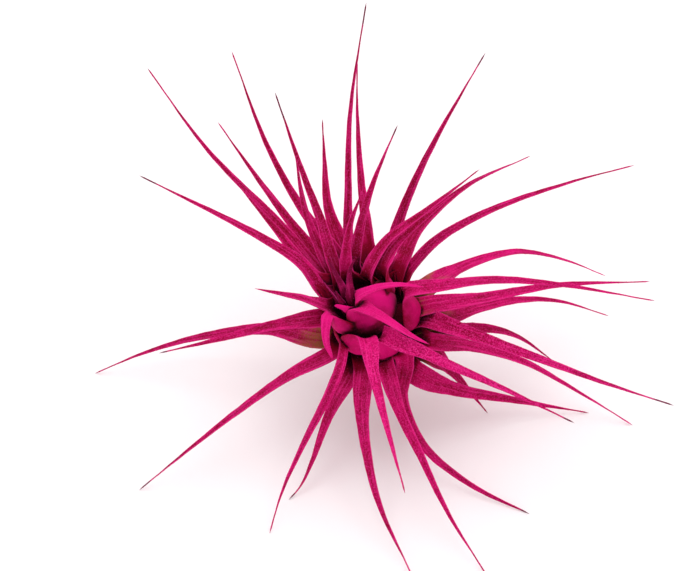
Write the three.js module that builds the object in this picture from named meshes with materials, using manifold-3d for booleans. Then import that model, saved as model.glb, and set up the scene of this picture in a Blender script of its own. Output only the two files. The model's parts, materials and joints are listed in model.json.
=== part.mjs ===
// A sky plant: one rosette of narrow pointed leaves on a short stem, without a pot. It stands on
// the tips of its lower leaves, and its head leans to one side and to the front.
// Millimetres, +Z up. The origin is on the surface, below the middle of the plant's extent.

import * as THREE from 'three';
import { mergeVertices } from 'three/addons/utils/BufferGeometryUtils.js';
import Module from 'manifold-3d';

const wasm = await Module();
wasm.setup();

// Driving dimensions
const HEAD_HEIGHT = 25;
const HEAD_OFFSET = { x: -0.83, y: -1.75 };
const SLANT = THREE.MathUtils.degToRad(45);
const HEAD_AXIS = new THREE.Vector3(-0.33, 0.38, 0.864).normalize();
const STEM = { radius: 2.3, topRadius: 1.84, bottom: -11, top: 4, sides: 14 };
const CLEARANCE = 0.3;
const BLADE_WIDTH = 2.4;
const BLADE_THICKNESS = { base: 1.1, tip: 0.6 };
const BLADE_CHANNEL = THREE.MathUtils.degToRad(42);
const DOME_CHANNEL = THREE.MathUtils.degToRad(58);
const BLADE_TAPER = 1.1;
const TIP_WIDTH = 0.6;
const TIP_SINK = 0.12;
const SHEATH_THICKNESS = 0.8;
const SHEATH_WIDTH = 6.8;
const SHEATH_ROOT_WIDTH = 3.6;
const SHEATH_BULGE = 1.2;
// The swelling of a sheath runs through these points: share of its height above or below the
// widest place, and share of the widest radius
const BELLY_STEPS = [[-0.24, 0.9], [0.16, 0.94]];
// A blade is this much wider where it meets its sheath, and loses it over this share of its length
const SHOULDER = { widening: 1.25, share: 0.25 };
// Shares of the sheath's length between which it widens, narrows, thickens, rounds to a dome,
// takes the channel of the blade, and twists to the way that the blade faces
const SHEATH_WIDENS = [0, 0.5];
const SHEATH_NARROWS = [0.55, 1];
const SHEATH_THICKENS = [0.6, 1];
const DOME_FORMS = [0.15, 0.6];
const CHANNEL_FORMS = [0.7, 1.4];
const TWIST_FORMS = [0.7, 1.15];

// Leaf attachments climb the stem in step with the height of the necks
const NECK_RANGE = { low: -6, high: 13 };
const ROOT_RANGE = { low: -9.5, high: 3 };

// Fineness of the solids: rings of a sheath and of a blade, and points across a leaf
const SHEATH_RINGS = 4;
const BLADE_RINGS = { least: 3, most: 8, spacing: 6.5 };
const ACROSS = [-1, -0.4, 0.4, 1];
const STEPS_PER_SPAN = 20;
// Rings added on both sides of the neck of a leaf that twists there, as shares of its sheath
const TWIST_RINGS = [0.88, 1.12];
const FOLD_SECTIONS = 7;
const WIDEST_SINE = 0.98;
const MERGE_DISTANCE = 1e-4;
const GROUND_EXTENT = 200;

const COLOURS = {
  blade: 0xc41c62,
  inner: 0xe0207c,
  heart: 0x8a1c46,
  stem: 0x6e4a2c,
};
const ROUGHNESS = 0.62;

// The leaf paths are laid out in a slanted frame: right, then up and back along the slant, then
// out towards the upper front. FLOOR stands for the depth that puts a leaf tip on the surface.
const FLOOR = 'floor';

// One row a leaf, from the youngest to the oldest: its name, the neck where the blade leaves its
// sheath, the points that the blade runs through, and the sizes that differ from the common ones.
const LEAVES = [
  ['heart_leaf_1', [-4.6, 4.2, 12], [[-6.6, 8.2, 14.5], [-8, 11, 16]],
    { width: 1.7, sheath: 2.4, taper: 0.75 }],
  ['heart_leaf_2', [-3.4, 3.6, 13], [[-3.9, 8, 16], [-3, 11, 18.5]],
    { width: 1.7, sheath: 2.4, taper: 0.75 }],
  ['heart_leaf_3', [-5.4, 2.9, 12], [[-6.5, 5, 15.5]], { width: 1.1, sheath: 2, taper: 0.75 }],
  ['heart_leaf_4', [-6.4, 3.6, 9.5], [[-8.8, 6.8, 13]], { width: 1.3, sheath: 2.4, taper: 0.75 }],
  ['heart_leaf_5', [-4, 1.3, 13], [[-4.9, 1.7, 14.6], [-6.7, 2.3, 15]],
    { width: 1.9, sheath: 2.6, taper: 0.3 }],
  ['crown_leaf_1', [-2.6, 3.3, 13.2],
    [[-1.3, 4.6, 15.2], [1.4, 5.6, 16.2], [5.3, 6.1, 16.6], [10, 5.6, 15.6]],
    { width: 2, sheath: 8, taper: 0.8, belly: [4.3, 2.7, 8.8], twist: 30 }],
  ['crown_leaf_2', [-2.4, 1.7, 13.6],
    [[0.1, 1, 15.6], [4, -1.2, 16.8], [7.2, -3.2, 16.8], [10.7, -4.8, 16]],
    { width: 3, sheath: 8, taper: 0.75, belly: [0, -3, 9.6], twist: 50 }],
  ['left_leaf_1', [-8.4, 1.9, 8.8], [[-12.6, 3.5, 10], [-16.3, 4.3, 10.6], [-21.4, 5.4, 11]],
    { width: 2.6, taper: 0.85 }],
  ['crown_leaf_3', [-7.6, 0.3, 12], [[-8.2, -1.6, 12.6], [-8.1, -4.4, 12.4], [-7, -7.6, 11.3]],
    { width: 2, sheath: 7, taper: 0.5, belly: [-5.4, -2.8, 9.6], twist: -50 }],
  ['upper_leaf_1', [-9.3, 5.1, 5.5], [[-12.7, 9.8, 7], [-21.9, 15.7, 9], [-42.8, 26.3, 9]],
    { width: 2.7, shoulder: 1 }],
  ['upper_leaf_2', [-10.7, 7.9, 6], [[-15.9, 14.2, 6], [-25.7, 26, 8]],
    { width: 2.3, shoulder: 1 }],
  ['upper_leaf_3', [-9.3, 8.4, 1.5], [[-17, 17.5, 1], [-30.7, 31.6, 0], [-42.2, 47.2, -2]],
    { width: 2.1, shoulder: 1 }],
  ['upper_leaf_4', [-8.6, 10, -2], [[-14, 16.6, -4], [-20.8, 25.6, -8], [-29.4, 37.7, -12]],
    { width: 2.5, shoulder: 1 }],
  ['upper_leaf_5', [-5.9, 11.7, 0], [[-12.5, 20, -3], [-19.5, 32.6, -5], [-26.5, 51, -8]],
    { width: 2.3, shoulder: 1 }],
  ['upper_leaf_6', [-6.6, 9.5, 6], [[-9.2, 17.9, 8], [-12.7, 27.2, 9], [-17.7, 41.7, 9]],
    { width: 2.4, shoulder: 1 }],
  ['upper_leaf_7', [-7.4, 9.3, 2.6], [[-11.8, 18.8, 3], [-14.3, 32.1, 3]],
    { width: 2.5, shoulder: 1 }],
  ['upper_leaf_8', [-4.8, 12.4, -3], [[-7.9, 21.3, -8], [-8.6, 29.5, -12], [-9.1, 38.5, -15]],
    { width: 3.1, shoulder: 1 }],
  ['upper_leaf_9', [-3.8, 12.4, 3], [[-4.1, 24.7, 6], [-3.7, 38.7, 8], [-0.8, 58.3, 9]],
    { width: 1.9, shoulder: 1 }],
  ['upper_leaf_10', [-0.2, 14.5, -4], [[-1.5, 25.8, -9], [-2.3, 40, -13], [-2.3, 50.1, -15]],
    { width: 2.3, shoulder: 1 }],
  ['upper_leaf_11', [-2.9, 10.2, 6], [[-0.4, 22.3, 9], [2.3, 29.4, 10], [5, 35.6, 10]],
    { shoulder: 1 }],
  ['upper_leaf_12', [-4.5, 9.2, 8.6], [[-3.9, 16.5, 11], [-1.3, 24, 13]], { shoulder: 1 }],
  ['upper_leaf_13', [4, 12.7, -1], [[6.7, 21.3, 2], [12.1, 33, 6], [21.3, 49.1, 8]],
    { width: 2.4, shoulder: 1 }],
  ['upper_leaf_14', [-0.3, 8.4, 10], [[2.8, 13.9, 12], [10.2, 19.7, 13], [20, 27.3, 12]],
    { width: 2.7, shoulder: 1 }],
  ['upper_leaf_15', [2.4, 9.8, 10.8], [[3.4, 12.1, 10.9], [5.4, 14.5, 10], [15.9, 23.2, 7]],
    { width: 2.5, sheath: 5, belly: [4, 7, 8.6], twist: 80 }],
  ['upper_leaf_16', [6.1, 10.2, 1], [[9, 16.1, -3], [18.9, 25.1, -9], [31.5, 31.2, -13]],
    { width: 3.2, shoulder: 1 }],
  ['upper_leaf_17', [7.9, 9.4, 2],
    [[12.9, 14.7, 5], [23.5, 20.4, 8], [37.2, 25.1, 9], [48.8, 28.2, 8]],
    { width: 2.2, shoulder: 1 }],
  ['right_leaf_1', [6.7, 4.7, 12],
    [[12.8, 5.8, 13], [22.7, 6.9, 13], [34.4, 6.1, 12], [52.7, 3.1, 8]],
    { width: 2.5, belly: [9.4, 1, 6.2], twist: 30 }],
  ['right_leaf_2', [11.1, 5.4, 0],
    [[17, 9, -6], [28.4, 12.4, -12], [38.5, 10.9, -17], [47, 7.8, -21]], { width: 3.4 }],
  ['right_leaf_3', [10.2, 1.8, 4], [[19.9, 3.3, 2], [36.1, 6, -3], [53.7, 6.7, -6]],
    { width: 3.1 }],
  ['right_leaf_4', [12.2, -0.8, 2],
    [[20.3, 1.5, -5], [29.4, 3.1, -11], [37.5, 2.8, -16], [47.5, -0.1, -20]], { width: 3.3 }],
  ['right_leaf_5', [10.6, -0.4, 4],
    [[15.6, -2, 8], [29.5, -7, 10], [42.2, -11.7, 9], [56.2, -16.3, 8]], { width: 2.9 }],
  ['right_leaf_6', [11.5, -4.7, 4],
    [[19.3, -5.7, -3], [29.7, -8.8, -8], [40.6, -14.7, -12], [51.4, -21.3, FLOOR]], { width: 2.7 }],
  ['right_leaf_7', [13.2, -3.4, -1], [[22, -2.4, -9], [29.2, -4.2, -14], [37.2, -9.7, -17]],
    { width: 3.5 }],
  ['right_leaf_8', [2.5, -3.2, 13.5],
    [[5.4, -4.6, 14.4], [9, -6, 14.3], [12.7, -7.8, 13.6], [25.6, -13.6, 10], [37.9, -19.6, 7]],
    { width: 2.7, belly: [3.6, -7.2, 7.5], twist: 75 }],
  ['right_leaf_9', [8.3, -10.4, 1], [[15.3, -13.5, -4], [27.6, -16.1, -11], [43.1, -19, FLOOR]],
    { width: 3.6 }],
  ['right_leaf_10', [11.4, -7.1, -1], [[16, -10.8, -8], [23.3, -19.1, FLOOR]], { width: 3.3 }],
  ['lower_leaf_1', [6.6, -7.7, 6.5],
    [[6, -14.5, 3], [9.9, -23.7, 2], [18.8, -31.4, 0], [30, -37, FLOOR]],
    { width: 2.9, taper: 0.7 }],
  ['lower_leaf_2', [3, -9, 6],
    [[5.5, -17.4, 9], [8.9, -24.7, 9], [14.4, -36.2, 10], [21.3, -47.3, FLOOR]], { width: 2.7 }],
  ['lower_leaf_3', [-1, -10.6, 6], [[-1.3, -19.3, 6], [1.3, -33.4, 9], [7.7, -47.6, FLOOR]],
    { width: 3.2 }],
  ['lower_leaf_4', [-0.7, -4.2, 15.3], [[0.3, -9.8, 20], [2.6, -19, 25], [5.8, -30.7, 29]],
    { width: 2.9, belly: [-2, -6.6, 9], twist: 25 }],
  ['lower_leaf_5', [-5.1, -5.6, 10],
    [[-5.7, -8.7, 11.4], [-7.4, -13.1, 10.2], [-12.5, -23.4, 8], [-16.5, -32.5, 6], [-18.8, -40.3, FLOOR]],
    { width: 2.6, shoulder: 0.7, belly: [-4.8, -5.6, 4] }],
  ['lower_leaf_6', [-3.8, -11, 4],
    [[-7.7, -18.7, 1], [-10.9, -27.4, -1], [-13.1, -32, -1], [-15.4, -34.6, FLOOR]],
    { width: 3.3 }],
  ['left_leaf_2', [-9.3, -0.5, 2], [[-18.3, -1.7, 3], [-28.1, -4.1, 4], [-39.5, -6.7, 5]],
    { width: 3.1 }],
  ['left_leaf_3', [-7.7, -7.3, 4],
    [[-14.9, -10.9, 3], [-25.7, -18.4, 2], [-36.1, -26.6, 0], [-43.8, -32.9, FLOOR]],
    { width: 2.7 }],
  ['left_leaf_4', [-9.2, -4.4, -3],
    [[-18.8, -2.6, -9], [-32.9, -4.2, -16], [-44.9, -7.6, -20], [-54.5, -11.6, FLOOR]],
    { width: 3.5 }],
  ['back_leaf_1', [-7, 6, -6], [[-9, 8, -14], [-8, 6, -25], [-7, 3, FLOOR]]],
  ['back_leaf_2', [1, 9, -8], [[1, 11, -16], [1, 9, -28], [1, 6, FLOOR]]],
  ['back_leaf_3', [7.4, 5, -6.5], [[10, 6.4, -14], [10.6, 4.6, -25], [9.6, 1.6, FLOOR]]],
];

// Sizes that a row leaves out. Shoulder is how much wider the blade is where it meets its sheath,
// and twist is how far the blade turns about its own length, in degrees.
const COMMON_SIZES = {
  width: BLADE_WIDTH,
  sheath: SHEATH_WIDTH,
  taper: BLADE_TAPER,
  shoulder: SHOULDER.widening,
  twist: 0,
};

// Depth at which a point this far up the slant lies just above the surface
function floorDepth(up) {
  const lift = TIP_WIDTH / 2 - TIP_SINK;
  return (lift - HEAD_HEIGHT - up * Math.sin(SLANT)) / Math.cos(SLANT);
}

function toPoint([right, up, out]) {
  return new THREE.Vector3(right, up, out === FLOOR ? floorDepth(up) : out);
}

// Height along the head's axis, distance from it, and the direction straight away from it
function aroundAxis(point) {
  const height = point.dot(HEAD_AXIS);
  const away = point.clone().addScaledVector(HEAD_AXIS, -height);
  const radius = away.length();
  return { height, radius, away: away.divideScalar(radius) };
}

function onAxis(height, radius, away) {
  return HEAD_AXIS.clone().multiplyScalar(height).addScaledVector(away, radius);
}

function rootHeightFor(neckHeight) {
  const { low: lowNeck, high: highNeck } = NECK_RANGE;
  const { low, high } = ROOT_RANGE;
  const climbed = THREE.MathUtils.mapLinear(neckHeight, lowNeck, highNeck, low, high);
  return THREE.MathUtils.clamp(climbed, low, high);
}

// Middle line of a leaf, from its attachment on the stem over the swelling of its sheath and its
// neck to the tip
function middleLine(neckPoint, bladePoints, bellyPoint) {
  const neck = toPoint(neckPoint);
  const { height, radius, away } = aroundAxis(bellyPoint ? toPoint(bellyPoint) : neck);
  const neckHeight = neck.dot(HEAD_AXIS);
  const rootHeight = rootHeightFor(neckHeight);
  const root = onAxis(rootHeight, STEM.radius, away);
  const bellyHeight = bellyPoint ? height : (rootHeight + height) / 2;
  const bellyRadius = bellyPoint ? radius : (STEM.radius + radius) / 2 + SHEATH_BULGE;
  const sheath = BELLY_STEPS.map(([climb, spread]) => onAxis(
    bellyHeight + climb * (neckHeight - rootHeight),
    bellyRadius * spread,
    away,
  ));
  const points = [root, ...sheath, neck, ...bladePoints.map(toPoint)];
  const curve = new THREE.CatmullRomCurve3(points, false, 'centripetal');
  const lengths = curve.getLengths(STEPS_PER_SPAN * (points.length - 1));
  const neckShare = lengths[points.indexOf(neck) * STEPS_PER_SPAN] / lengths.at(-1);
  return { curve, neckShare, away };
}

// Chord, thickness and bend radius of the leaf's section at a share of its length
function sectionSizes(share, neckShare, axisDistance, leaf) {
  const { smoothstep, lerp } = THREE.MathUtils;
  const inBlade = Math.max(0, (share - neckShare) / (1 - neckShare));
  const inSheath = Math.min(1, share / neckShare);
  const flare = lerp(SHEATH_ROOT_WIDTH, leaf.sheath, smoothstep(inSheath, ...SHEATH_WIDENS));
  const neckWidth = leaf.width * leaf.shoulder;
  const blade = Math.max(TIP_WIDTH, leaf.width * (1 - inBlade) ** leaf.taper);
  const width = share < neckShare
    ? lerp(flare, neckWidth, smoothstep(inSheath, ...SHEATH_NARROWS))
    : lerp(neckWidth, blade, smoothstep(inBlade, 0, SHOULDER.share));
  const thickness = share < neckShare
    ? lerp(SHEATH_THICKNESS, BLADE_THICKNESS.base, smoothstep(inSheath, ...SHEATH_THICKENS))
    : lerp(BLADE_THICKNESS.base, BLADE_THICKNESS.tip, inBlade);
  const rootBend = 1 / Math.max(axisDistance, leaf.sheath / 2);
  const domeBend = (2 * Math.sin(DOME_CHANNEL)) / width;
  const sheathBend = lerp(rootBend, domeBend, smoothstep(inSheath, ...DOME_FORMS));
  const bladeBend = (2 * Math.sin(BLADE_CHANNEL)) / width;
  const bend = lerp(sheathBend, bladeBend, smoothstep(share / neckShare, ...CHANNEL_FORMS));
  return { width, thickness, bendRadius: 1 / bend };
}

// Outline of one section: across the outer face one way and across the inner face back again
function sectionOutline(centre, sideways, inward, sizes, clearance) {
  const half = Math.asin(Math.min(WIDEST_SINE, sizes.width / 2 / sizes.bendRadius));
  const reach = half + clearance / sizes.bendRadius;
  const halfThickness = sizes.thickness / 2 + clearance;
  const face = (side, shares) => shares.map((share) => {
    const turn = share * reach;
    const radius = sizes.bendRadius - side * halfThickness;
    return centre.clone()
      .addScaledVector(inward, sizes.bendRadius - radius * Math.cos(turn))
      .addScaledVector(sideways, radius * Math.sin(turn));
  });
  return [...face(-1, ACROSS), ...face(1, ACROSS.toReversed())];
}

// Closed skin over a row of sections
function loft(sections) {
  const ring = sections[0].length;
  const positions = sections.flat().flatMap((point) => point.toArray());
  const index = [];
  for (let row = 0; row < sections.length - 1; row += 1) {
    for (let column = 0; column < ring; column += 1) {
      const next = (column + 1) % ring;
      const [a, b] = [row * ring + column, row * ring + next];
      const [c, d] = [a + ring, b + ring];
      if (column < ring / 2) {
        index.push(a, c, b, b, c, d);
      } else {
        index.push(a, d, b, a, c, d);
      }
    }
  }
  const last = (sections.length - 1) * ring;
  for (let column = 0; column < ring / 2 - 1; column += 1) {
    const [a, b] = [column, column + 1];
    const [c, d] = [ring - 2 - column, ring - 1 - column];
    index.push(a, b, c, a, c, d);
    index.push(last + a, last + c, last + b, last + a, last + d, last + c);
  }
  const geometry = new THREE.BufferGeometry();
  geometry.setAttribute('position', new THREE.Float32BufferAttribute(positions, 3));
  geometry.setIndex(index);
  return geometry;
}

function sectionShares(length, neckShare, twist) {
  const bladeShare = 1 - neckShare;
  const { least, most, spacing } = BLADE_RINGS;
  const bladeRings = THREE.MathUtils.clamp(Math.round((length * bladeShare) / spacing), least, most);
  return [
    ...Array.from({ length: SHEATH_RINGS }, (_, row) => (neckShare * row) / SHEATH_RINGS),
    ...Array.from({ length: bladeRings }, (_, row) => neckShare + (bladeShare * row) / bladeRings),
    ...(twist ? TWIST_RINGS.map((place) => place * neckShare) : []),
    1,
  ].toSorted((one, other) => one - other);
}

function leafSections([, neckPoint, bladePoints, ownSizes], clearance) {
  const sizes = { ...COMMON_SIZES, ...ownSizes };
  const { curve, neckShare, away } = middleLine(neckPoint, bladePoints, sizes.belly);
  const shares = sectionShares(curve.getLength(), neckShare, sizes.twist);
  // The hollow side of a sheath starts towards the axis, whichever way its root points
  const start = curve.getTangentAt(0);
  const hollow = HEAD_AXIS.clone()
    .multiplyScalar(start.dot(away))
    .addScaledVector(away, -start.dot(HEAD_AXIS));
  return shares.map((share, row) => {
    const centre = curve.getPointAt(share);
    const along = curve.getTangentAt(share);
    hollow.addScaledVector(along, -hollow.dot(along)).normalize();
    const turned = THREE.MathUtils.smoothstep(share / neckShare, ...TWIST_FORMS) * sizes.twist;
    const inward = hollow.clone().applyAxisAngle(along, THREE.MathUtils.degToRad(turned));
    const sideways = along.clone().cross(inward);
    const axisDistance = aroundAxis(centre).radius;
    const section = sectionSizes(share, neckShare, axisDistance, sizes);
    if (row === 0) {
      centre.addScaledVector(along, -clearance);
    }
    if (row === shares.length - 1) {
      centre.addScaledVector(along, clearance);
    }
    return sectionOutline(centre, sideways, inward, section, clearance);
  });
}

// A leaf is joined from lengths, so that a tight fold stays sound: one between each two sections
// of its fold, and one for the rest of its blade
function leafSolid(row) {
  const sections = leafSections(row, 0);
  const fold = sections.slice(1, FOLD_SECTIONS).map((section, step) => [sections[step], section]);
  const lengths = [...fold, sections.slice(FOLD_SECTIONS - 1)].map((length) => toSolid(loft(length)));
  return lengths.reduce((whole, length) => largestBody(whole.add(length)));
}

// The room that older leaves leave around a leaf, joined from convex strips that run side by side
function leafRoom(row) {
  const sections = leafSections(row, CLEARANCE);
  const last = sections[0].length - 1;
  const strips = sections.slice(1).flatMap((section, step) => ACROSS.slice(1).map((_, strip) => {
    const corners = [strip, strip + 1, last - strip - 1, last - strip];
    const ends = [sections[step], section].map((ring) => corners.map((corner) => ring[corner].toArray()));
    return wasm.Manifold.hull(ends.flat());
  }));
  return wasm.Manifold.union(strips);
}

function stemGeometry(clearance = 0) {
  const { radius, topRadius, bottom, top, sides } = STEM;
  const length = top - bottom + 2 * clearance;
  const geometry = new THREE.CylinderGeometry(topRadius + clearance, radius + clearance, length, sides);
  const turn = new THREE.Quaternion().setFromUnitVectors(new THREE.Vector3(0, 1, 0), HEAD_AXIS);
  geometry.applyQuaternion(turn);
  const middle = HEAD_AXIS.clone().multiplyScalar((top + bottom) / 2);
  return geometry.translate(middle.x, middle.y, middle.z);
}

// The surface that the plant stands on, as a block that trims the lowest tips flat
function groundGeometry() {
  const geometry = new THREE.BoxGeometry(GROUND_EXTENT, GROUND_EXTENT, GROUND_EXTENT);
  geometry.translate(0, 0, -GROUND_EXTENT / 2 - HEAD_HEIGHT);
  return geometry.rotateX(-SLANT);
}

function toSolid(geometry) {
  const bare = geometry.clone();
  bare.deleteAttribute('normal');
  bare.deleteAttribute('uv');
  const merged = mergeVertices(bare, MERGE_DISTANCE);
  return new wasm.Manifold(new wasm.Mesh({
    numProp: 3,
    vertProperties: new Float32Array(merged.attributes.position.array),
    triVerts: new Uint32Array(merged.index.array),
  }));
}

function toGeometry(solid) {
  const { vertProperties, triVerts } = solid.getMesh();
  const geometry = new THREE.BufferGeometry();
  geometry.setAttribute('position', new THREE.Float32BufferAttribute(vertProperties, 3));
  geometry.setIndex([...triVerts]);
  return geometry;
}

function largestBody(solid) {
  return solid.decompose().reduce((best, body) => (body.volume() > best.volume() ? body : best));
}

function addMesh(group, name, solid, colour) {
  const geometry = toGeometry(solid);
  geometry.computeBoundingBox();
  const middle = geometry.boundingBox.getCenter(new THREE.Vector3());
  geometry.translate(-middle.x, -middle.y, -middle.z);
  geometry.computeVertexNormals();
  const material = new THREE.MeshStandardMaterial({ color: colour, roughness: ROUGHNESS });
  const mesh = new THREE.Mesh(geometry, material);
  mesh.name = name;
  mesh.position.copy(middle);
  group.add(mesh);
}

function leafColour(name) {
  if (name.startsWith('heart')) {
    return COLOURS.heart;
  }
  return name.startsWith('crown') ? COLOURS.inner : COLOURS.blade;
}

// Younger leaves keep their whole shape, and each older one is cut clear of them where its sheath
// would run into theirs
function buildPlant() {
  const rosette = new THREE.Group();
  const ground = toSolid(groundGeometry());
  const placed = [toSolid(stemGeometry(CLEARANCE))];
  addMesh(rosette, 'stem', toSolid(stemGeometry()), COLOURS.stem);
  for (const row of LEAVES) {
    const cut = placed.reduce((solid, room) => solid.subtract(room), leafSolid(row).subtract(ground));
    addMesh(rosette, row[0], largestBody(cut), leafColour(row[0]));
    placed.push(leafRoom(row));
  }
  rosette.rotation.x = SLANT;
  rosette.position.set(HEAD_OFFSET.x, HEAD_OFFSET.y, HEAD_HEIGHT);
  return rosette;
}

const plant = new THREE.Group();
plant.add(buildPlant());

export default plant;
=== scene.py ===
import json
import math
from functools import partial, reduce
from typing import NamedTuple

import bpy
import numpy as np
from bpy.props import FloatProperty, FloatVectorProperty, IntProperty, PointerProperty
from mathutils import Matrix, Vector, noise
from mathutils.bvhtree import BVHTree

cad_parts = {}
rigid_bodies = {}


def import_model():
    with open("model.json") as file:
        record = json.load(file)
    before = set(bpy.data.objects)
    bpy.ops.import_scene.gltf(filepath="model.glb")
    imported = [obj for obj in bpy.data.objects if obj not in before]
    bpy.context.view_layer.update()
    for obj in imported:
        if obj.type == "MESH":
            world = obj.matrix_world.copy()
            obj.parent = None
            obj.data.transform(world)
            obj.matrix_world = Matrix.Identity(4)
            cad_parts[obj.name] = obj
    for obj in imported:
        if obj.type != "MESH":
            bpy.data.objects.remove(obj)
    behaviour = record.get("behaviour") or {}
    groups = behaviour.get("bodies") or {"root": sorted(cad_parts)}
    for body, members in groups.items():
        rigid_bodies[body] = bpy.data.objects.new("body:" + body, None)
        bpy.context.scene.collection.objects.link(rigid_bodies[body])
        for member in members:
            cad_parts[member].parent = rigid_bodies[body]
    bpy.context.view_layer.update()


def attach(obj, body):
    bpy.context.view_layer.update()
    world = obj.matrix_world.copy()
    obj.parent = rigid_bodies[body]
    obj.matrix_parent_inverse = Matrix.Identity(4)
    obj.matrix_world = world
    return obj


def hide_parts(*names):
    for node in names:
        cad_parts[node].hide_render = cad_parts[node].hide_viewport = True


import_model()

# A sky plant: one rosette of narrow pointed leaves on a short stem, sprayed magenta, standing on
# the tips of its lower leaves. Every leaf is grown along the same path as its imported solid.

bl_info = {
    "name": "Sky plant",
    "version": (1, 0, 0),
    "blender": (4, 5, 0),
    "location": "3D View > Sidebar > Sky Plant",
    "description": "Grows the scaly leaves, the stem and the sprayed colour of a sky plant",
    "category": "Add Mesh",
}

MM = 0.001

# Layout frame, as the solids have it: right, then up and back along the slant, then out. The
# lengths that come with it are in mm, as in the rows of the leaves.
SLANT = math.radians(45)
HEAD_PLACE = np.array((-0.83, -1.75, 25.0))
HEAD_AXIS = np.array((-0.33, 0.38, 0.864))
HEAD_AXIS /= np.linalg.norm(HEAD_AXIS)
STEM_RADIUS = 2.3
STEM_TOP_RADIUS = 1.84
STEM_BOTTOM = -11.0
STEM_TOP = 4.0

# Leaves: where their roots stand for the height of their necks, how the sheath bulges and widens,
# and the shares of sheath and blade over which their sections change
COMMON_WIDTH = 2.4
NECK_RANGE = (-6.0, 13.0)
ROOT_RANGE = (-9.5, 3.0)
SHEATH_ROOT_WIDTH = 3.6
SHEATH_BULGE = 1.2
BELLY_STEPS = ((-0.24, 0.9), (0.16, 0.94))
SHOULDER_SHARE = 0.25
SHEATH_WIDENS = (0.0, 0.5)
SHEATH_NARROWS = (0.55, 1.0)
SHEATH_THICKENS = (0.6, 1.0)
CHANNEL_FORMS = (0.7, 1.4)
DOME_FORMS = (0.15, 0.6)
TWIST_FORMS = (0.7, 1.15)
DOME_CHANNEL = math.radians(58)
BLADE_CHANNEL = math.radians(42)
WIDEST_SINE = 0.98
THICKEST_SHARE = 0.6

# How a blade wanders: the lengths of its waves, and where on the blade they set in and die down
SIDEWAYS_WAVES = (23, 9, 5)
INWARD_WAVES = (19, 7, 4)
WIDTH_WAVES = (11, 4.3, 2.9)
WIDTH_WANDERS = 0.03
WANDER_STARTS = (0, 0.3)
WANDER_ENDS = (0.9, 1)
WIDTH_WANDER_STARTS = (0, 0.1)

# Where a bare root and a dry tip fade, in shares of their own reach, and where scales set in
BARE_FADES = (0.45, 1.25)
DRY_FADES = (1.3, 0.4)
LEAST_FADE = 1e-6
GRAIN_STARTS = (0.85, 1.25)
SHEATH_GRAIN = 0.08

# Scales
SCALE_RADIUS = 0.072
SCALE_HEIGHT = 0.07
SCALES_PER_SQUARE_MM = 40.0
SCALE_SEED = 11
SCALE_SIDES = 4
SCALE_SIZES = (0.55, 1.35)
SCALE_SUNK = 0.25

# Bark of the stem: rings of scars, a rounded lower end, and bumps as (fineness, depth)
SCAR_DEPTH = 0.12
SCAR_WAVE = 4.2
BARK_INSET = 0.1
END_ROUNDING = 0.35
END_HEIGHT = 0.5
BARK_BUMPS = ((1.6, 0.22), (4.7, 0.1))
BARK_ROUND = 1.3
BARK_ALONG = 0.9

# Fineness of the skins
SHEATH_RINGS = 22
BLADE_RING_SPACING = 1.05
LEAST_BLADE_RINGS = 16
CURVE_STEPS = 60
POINTS_AROUND = 20
MERGE_DISTANCE = 1e-6
STEM_SIDES = 40
STEM_RINGS = 60

# How far a place looks round itself for leaves that keep the spray and the light off it, for thinner
# spray and painted shade in the closed-in places
OPEN_DIRECTIONS = 24
OPEN_DISTANCE = 14 * MM
OPEN_LIFT = 0.08 * MM

# Stage, in metres, with the lens that gives the photograph's frame
FLOOR_HALF = 3.0
LAMP_PLACE = (0.0, 0.02, 0.75)
CAMERA_PLACE = (-0.006585, -0.301604, 0.333258)
CAMERA_LENS = 120.83
CAMERA_SENSOR = 36.0
CAMERA_CLIP = (0.01, 20.0)

# Depth of a point that lies on the floor, in the rows of the leaves
FLOOR = "floor"


class Leaf(NamedTuple):
    """Neck, blade points and own sizes of one leaf, in mm in the layout frame."""

    name: str
    neck: tuple
    blade: tuple
    width: float = COMMON_WIDTH
    sheath: float = 6.8
    taper: float = 1.1
    belly: tuple = None
    twist: float = 0.0
    shoulder: float = 1.25


class Look(NamedTuple):
    """How the spray took on one leaf."""

    bare: float = 0.0      # share of the leaf's length, from its root, that stays olive
    dry: float = 0.0       # share of its length, from its tip, that is dry
    deep: float = 0.15     # how far the pink goes to crimson
    grain: float = 0.45    # how thickly its scales stand out


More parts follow.
